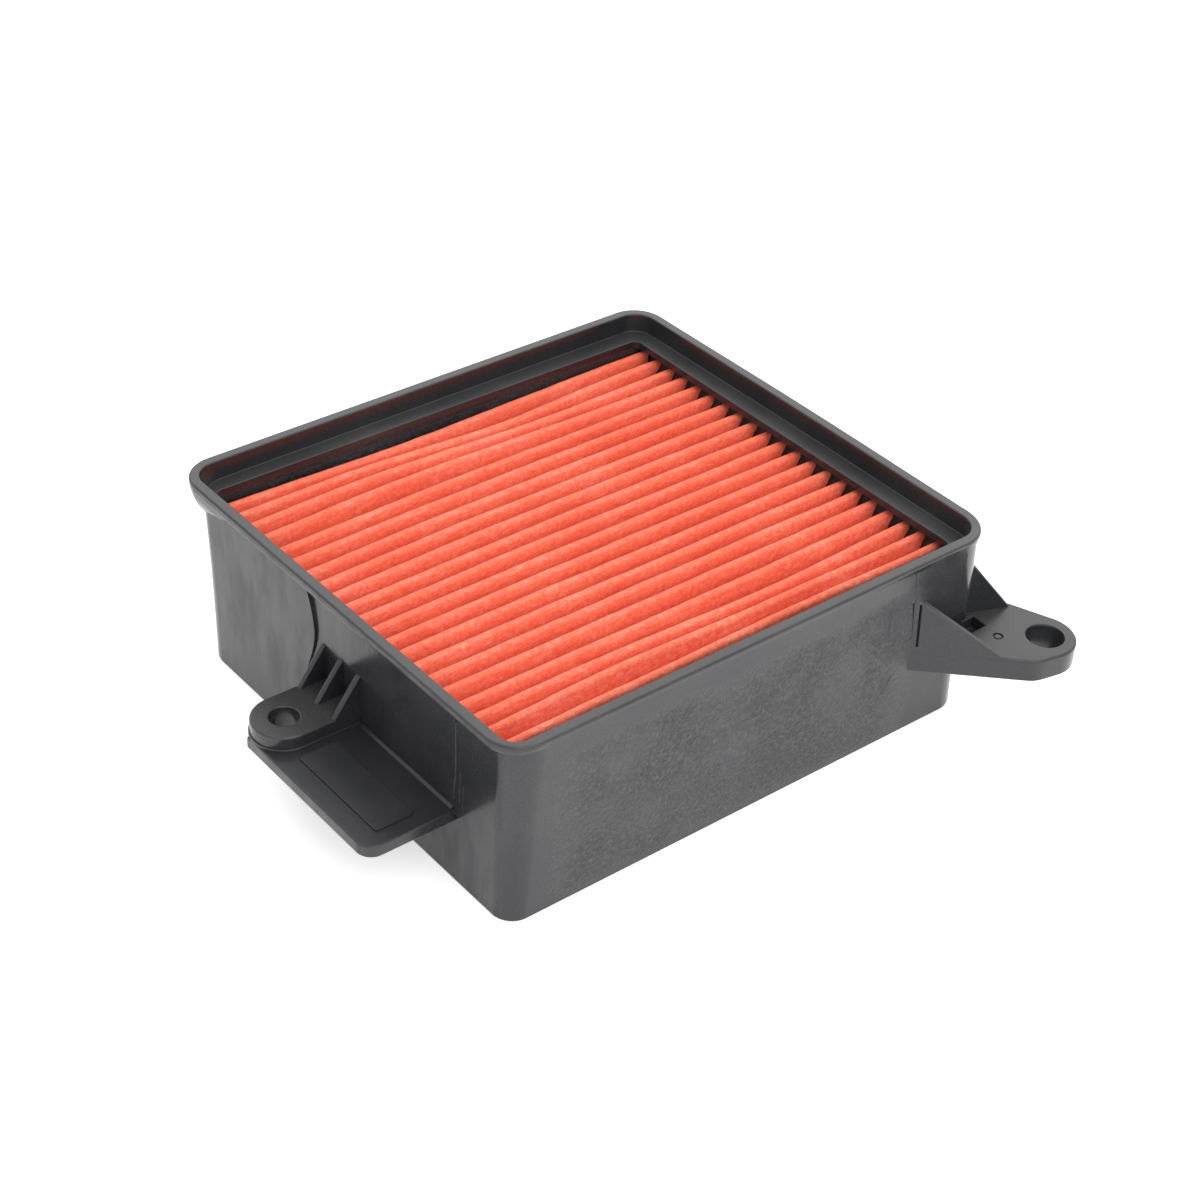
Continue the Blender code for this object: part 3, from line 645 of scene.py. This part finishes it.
def black_plastic():
    m, nt, b = shader("moulded_black_plastic")
    tc = node(nt, "ShaderNodeTexCoord").outputs["Object"]
    geo = node(nt, "ShaderNodeNewGeometry")
    sep = node(nt, "ShaderNodeSeparateXYZ")
    nt.links.new(tc, sep.inputs[0])
    nor = node(nt, "ShaderNodeSeparateXYZ")
    nt.links.new(geo.outputs["Normal"], nor.inputs[0])
    cloud = noise_tex(nt, tc, 28.0, 4.0)
    speck = noise_tex(nt, tc, 700.0, 2.0)
    dust = noise_tex(nt, tc, 2400.0, 3.0, 0.8)
    shade = maths(nt, 'ADD', maths(nt, 'MULTIPLY', cloud, 0.55), maths(nt, 'MULTIPLY', dust, 0.45))
    col = ramp(nt, shade, [(0.36, (0.015, 0.0155, 0.0185)), (0.52, (0.022, 0.0225, 0.0250)), (0.66, (0.036, 0.036, 0.0375))])
    # grain on the front wall, fading out to its corners and to its upper edge
    front = span(nt, maths(nt, 'MULTIPLY', nor.outputs["Y"], -1.0), 0.90, 0.99)
    zc = maths(nt, 'MULTIPLY', span(nt, sep.outputs["Z"], 0.0420, 0.0370), span(nt, sep.outputs["Z"], -0.001, 0.004))
    xc = maths(nt, 'MULTIPLY', span(nt, sep.outputs["X"], -0.058, -0.040), span(nt, sep.outputs["X"], 0.054, 0.034))
    mask = maths(nt, 'MULTIPLY', front, maths(nt, 'MULTIPLY', zc, xc))
    mask = maths(nt, 'MULTIPLY', mask, span(nt, noise_tex(nt, tc, 55.0, 3.0, 0.6), 0.25, 0.62, 0.35, 1.0))
    grain = noise_tex(nt, tc, 1150.0, 4.0, 0.8)
    mix = node(nt, "ShaderNodeMix", data_type='RGBA')
    nt.links.new(mask, mix.inputs[0])
    nt.links.new(col, mix.inputs[6])
    nt.links.new(ramp(nt, grain, [(0.34, (0.008, 0.0085, 0.0105)), (0.50, (0.025, 0.0255, 0.0275)),
                                  (0.66, (0.082, 0.082, 0.084))]), mix.inputs[7])
    # painted light: up-facing faces above the shelf are painted lighter, a painted highlight on the tops
    level = maths(nt, 'MULTIPLY', span(nt, nor.outputs["Z"], 0.55, 0.95), span(nt, sep.outputs["Z"], 0.0200, 0.0212))
    painted_top_light = node(nt, "ShaderNodeMix", data_type='RGBA')
    nt.links.new(maths(nt, 'MULTIPLY', level, 0.75), painted_top_light.inputs[0])
    nt.links.new(mix.outputs[2], painted_top_light.inputs[6])
    # the lighter colour painted onto the up-facing tops
    nt.links.new(ramp(nt, shade, [(0.36, (0.030, 0.030, 0.031)), (0.52, (0.045, 0.045, 0.046)),
                                  (0.66, (0.068, 0.067, 0.067))]), painted_top_light.inputs[7])
    nt.links.new(painted_top_light.outputs[2], b.inputs["Base Color"])
    bump1 = node(nt, "ShaderNodeBump")
    bump1.inputs["Distance"].default_value = 0.00055
    nt.links.new(maths(nt, 'MULTIPLY', mask, 0.9), bump1.inputs["Strength"])
    nt.links.new(grain, bump1.inputs["Height"])
    # handling smudges on the polished left wall
    left = span(nt, maths(nt, 'MULTIPLY', nor.outputs["X"], -1.0), 0.90, 0.99)
    mp = node(nt, "ShaderNodeMapping")
    mp.inputs["Scale"].default_value = (1.0, 1.0, 0.3)
    nt.links.new(tc, mp.inputs["Vector"])
    smudge = span(nt, noise_tex(nt, mp.outputs["Vector"], 110.0, 2.0, 0.5), 0.40, 0.70)
    smudge = maths(nt, 'MULTIPLY', smudge, span(nt, sep.outputs["Y"], 0.012, 0.030))
    # slight sink and flow waviness everywhere
    wave = noise_tex(nt, tc, 60.0, 2.0, 0.5)
    bump2 = node(nt, "ShaderNodeBump")
    bump2.inputs["Strength"].default_value = 0.18
    bump2.inputs["Distance"].default_value = 0.0006
    nt.links.new(wave, bump2.inputs["Height"])
    nt.links.new(bump1.outputs["Normal"], bump2.inputs["Normal"])
    fine = node(nt, "ShaderNodeBump")
    fine.inputs["Strength"].default_value = 0.25
    fine.inputs["Distance"].default_value = 0.00003
    nt.links.new(speck, fine.inputs["Height"])
    nt.links.new(bump2.outputs["Normal"], fine.inputs["Normal"])
    nt.links.new(fine.outputs["Normal"], b.inputs["Normal"])
    rough = maths(nt, 'ADD', span(nt, cloud, 0.3, 0.7, 0.15, 0.22), maths(nt, 'MULTIPLY', mask, 0.24))
    rough = maths(nt, 'ADD', rough, maths(nt, 'MULTIPLY', maths(nt, 'MULTIPLY', left, smudge), 0.10))
    rough = maths(nt, 'ADD', rough, span(nt, nor.outputs["Z"], 0.10, 0.45, 0.0, 0.16))
    nt.links.new(rough, b.inputs["Roughness"])
    streak = span(nt, noise_tex(nt, mp.outputs["Vector"], 170.0, 3.0, 0.6), 0.34, 0.70, 0.05, 0.26)
    nt.links.new(maths(nt, 'SUBTRACT', 0.5, maths(nt, 'MULTIPLY', left, streak)), b.inputs["Specular IOR Level"])
    b.inputs["IOR"].default_value = 1.5
    return m


def red_paper():
    m, nt, b = shader("oiled_red_filter_paper")
    tc = node(nt, "ShaderNodeTexCoord").outputs["Object"]
    mp = node(nt, "ShaderNodeMapping")
    mp.inputs["Scale"].default_value = (0.35, 1.0, 1.0)
    nt.links.new(tc, mp.inputs["Vector"])
    blotch = noise_tex(nt, tc, 45.0, 4.0, 0.6)
    fibre = noise_tex(nt, mp.outputs["Vector"], 1500.0, 4.0, 0.7)
    fleck = noise_tex(nt, tc, 900.0, 3.0, 0.75)
    mix = maths(nt, 'ADD', maths(nt, 'MULTIPLY', blotch, 0.28),
                maths(nt, 'ADD', maths(nt, 'MULTIPLY', fibre, 0.30), maths(nt, 'MULTIPLY', fleck, 0.42)))
    col = ramp(nt, mix, [(0.36, (0.76, 0.110, 0.055)), (0.50, (0.87, 0.172, 0.098)), (0.64, (0.95, 0.300, 0.205))])
    nt.links.new(col, b.inputs["Base Color"])
    bump = node(nt, "ShaderNodeBump")
    bump.inputs["Strength"].default_value = 0.7
    bump.inputs["Distance"].default_value = 0.00020
    nt.links.new(maths(nt, 'ADD', fibre, fleck), bump.inputs["Height"])
    nt.links.new(bump.outputs["Normal"], b.inputs["Normal"])
    nt.links.new(span(nt, fleck, 0.3, 0.7, 0.62, 0.78), b.inputs["Roughness"])
    b.inputs["IOR"].default_value = 1.35
    return m


def glue_black(name):
    m, nt, b = shader(name)
    tc = node(nt, "ShaderNodeTexCoord").outputs["Object"]
    lump = noise_tex(nt, tc, 220.0, 3.0)
    col = ramp(nt, lump, [(0.35, (0.010, 0.008, 0.008)), (0.7, (0.022, 0.017, 0.016))])
    nt.links.new(col, b.inputs["Base Color"])
    bump = node(nt, "ShaderNodeBump")
    bump.inputs["Strength"].default_value = 0.5
    bump.inputs["Distance"].default_value = 0.0004
    nt.links.new(lump, bump.inputs["Height"])
    nt.links.new(bump.outputs["Normal"], b.inputs["Normal"])
    nt.links.new(span(nt, lump, 0.3, 0.7, 0.50, 0.7), b.inputs["Roughness"])
    b.inputs["Specular IOR Level"].default_value = 0.3
    return m


# --------------------------------------------------------------------- assembly
def place(ob, mat, cad_node):
    if not ob.data.materials:
        ob.data.materials.append(mat)
    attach(ob, "root")
    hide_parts(cad_node)


plastic = black_plastic()
housing = make_housing()
settle(housing)
housing.data.materials.clear()
place(housing, plastic, "filter_housing")

paper = make_paper()
place(paper, red_paper(), "pleated_paper")

place(bead("left_adhesive_run", (5.0, 7.1, 9.7), (7.5, 110.2, 39.4), 1, 0.10, 1.0), glue_black("glue_left"),
      "left_pleat_end_seal")
place(wedge("right_adhesive_run", [(130.4, 9.7), (130.4, 39.3), (129.6, 39.2), (128.6, 37.4), (127.4, 35.5),
                                   (126.8, 31.0), (126.7, 9.7)], 7.1, 110.2, 0.5, 5.0), glue_black("glue_right"),
      "right_pleat_end_seal")
place(bead("front_adhesive_run", (5.2, 3.7, 14.0), (128.4, 11.5, 33.6), 0, 0.10, 9.0), glue_black("glue_front"),
      "front_flap_seal")
place(bead("rear_adhesive_run", (5.2, 111.6, 14.0), (128.4, 113.8, 34.0), 0, 0.10, 13.0), glue_black("glue_rear"),
      "rear_flap_seal")

# ------------------------------------------------------------------ floor, light
bm = bmesh.new()
bmesh.ops.create_circle(bm, cap_ends=True, radius=3.0, segments=96)
floor = link("studio_floor", bm)
floor.location.z = -0.0002
mf, nf, bf = shader("floor_white")
tcf = node(nf, "ShaderNodeTexCoord").outputs["Object"]
nf.links.new(ramp(nf, noise_tex(nf, tcf, 3.0, 2.0), [(0.3, (0.93, 0.93, 0.93)), (0.7, (0.95, 0.95, 0.95))]),
             bf.inputs["Base Color"])
bf.inputs["Roughness"].default_value = 0.9
bf.inputs["Emission Color"].default_value = (1.0, 1.0, 1.0, 1.0)
bf.inputs["Emission Strength"].default_value = 0.45
floor.data.materials.append(mf)

scene = bpy.context.scene
world_bg = bpy.data.worlds.new("studio")
world_bg.use_nodes = True
bg = world_bg.node_tree.nodes["Background"]
bg.inputs["Color"].default_value = (1.0, 1.0, 1.0, 1.0)
bg.inputs["Strength"].default_value = 1.0
scene.world = world_bg


def area(name, loc, aim, size, power):
    li = bpy.data.lights.new(name, 'AREA')
    li.shape = 'RECTANGLE'
    li.size, li.size_y = size
    li.energy = power
    ob = bpy.data.objects.new(name, li)
    coll.objects.link(ob)
    ob.location = loc
    ob.rotation_mode = 'QUATERNION'
    ob.rotation_quaternion = (Vector(aim) - Vector(loc)).to_track_quat('-Z', 'Y')
    return ob


area("key_soft", (-0.10, -0.60, 0.65), (0.0, 0.0, 0.03), (0.8, 0.8), 3.7)
area("top_soft", (0.48, 0.55, 0.62), (0.0, 0.0, 0.03), (1.1, 1.1), 3.4)

scene.view_settings.view_transform = 'Standard'
scene.view_settings.look = 'None'
scene.view_settings.exposure = 0.0
scene.view_settings.gamma = 1.0

# ------------------------------------------------------------------------ camera
AZ, EL, ROLL = -0.7235487, 0.6251444, 0.0684265
back = Vector((math.sin(AZ) * math.cos(EL), -math.cos(AZ) * math.cos(EL), math.sin(EL)))
right = Vector((math.cos(AZ), math.sin(AZ), 0.0))
up = back.cross(right)
r2 = right * math.cos(ROLL) + up * math.sin(ROLL)
u2 = -right * math.sin(ROLL) + up * math.cos(ROLL)
cam = bpy.data.cameras.new("photo_view")
cam.sensor_width, cam.lens = 36.0, 69.199
cam.clip_start, cam.clip_end = 0.01, 20.0
cam_ob = bpy.data.objects.new("photo_view", cam)
coll.objects.link(cam_ob)
target = world(67.178, 53.575, 23.248)
cam_ob.matrix_world = Matrix.Translation(target + back * 0.51184) @ Matrix((r2, u2, back)).transposed().to_4x4()
scene.camera = cam_ob
